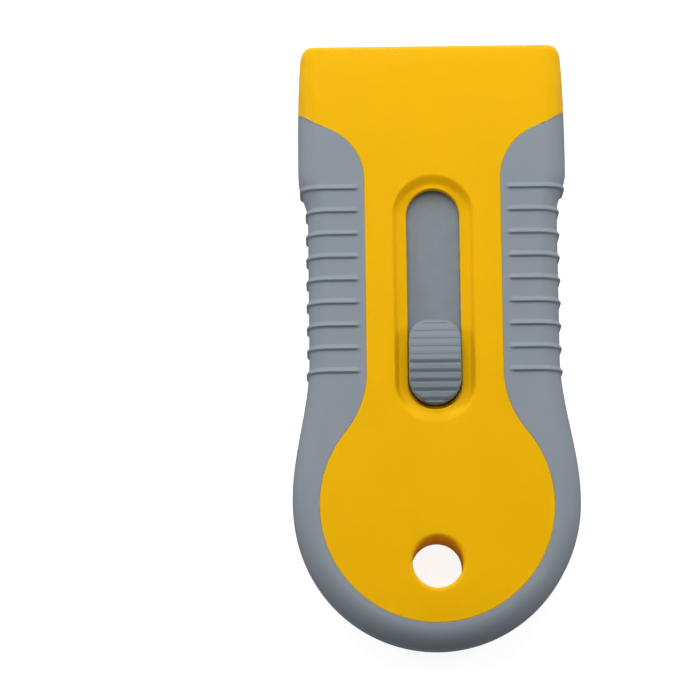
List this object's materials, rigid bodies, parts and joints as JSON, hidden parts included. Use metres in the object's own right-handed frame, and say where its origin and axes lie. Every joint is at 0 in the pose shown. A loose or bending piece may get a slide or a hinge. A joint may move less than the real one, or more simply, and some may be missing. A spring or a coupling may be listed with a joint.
{
  "type": "razor blade scraper",
  "caption": "Hand scraper with a moulded plastic housing, soft U-shaped grip, hanging hole, and a razor blade in a holder that a thumb button slides out and locks.",
  "frame": {"origin": "under the middle of the body, on the flat that the rear side rests on", "axes": "+Y towards the blade, +Z out of the face with the thumb button, +X to the right seen from the face"},
  "size_m": [0.0512, 0.1086, 0.0154],
  "materials": {
    "housing_plastic": "satin moulded",
    "soft_grip": "matte soft-touch",
    "holder_plastic": "satin moulded",
    "button_plastic": "satin moulded",
    "blade_steel": "ground",
    "spring_steel": "rolled",
    "screw_steel": "zinc plated"
  },
  "bodies": {
    "housing": {"front_shell": "housing_plastic", "rear_shell": "housing_plastic", "front_grip": "soft_grip", "rear_grip": "soft_grip", "housing_screws": "screw_steel"},
    "holder": {"blade_carrier": "holder_plastic", "blade_clamp": "holder_plastic", "blade": "blade_steel", "lock_spring": "spring_steel"},
    "button": {"thumb_button": "button_plastic"}
  },
  "joints": [
    {"name": "blade_slide", "type": "slide", "parent": "housing", "child": "holder", "axis": [0, 1, 0], "range_m": [0, 0.0225]},
    {"name": "button_press", "type": "slide", "parent": "holder", "child": "button", "axis": [0, 0, -1], "range_m": [0, 0.001], "stiffness_N_per_m": 1500, "springref_m": -0.0005, "deforming": ["lock_spring"]}
  ]
}
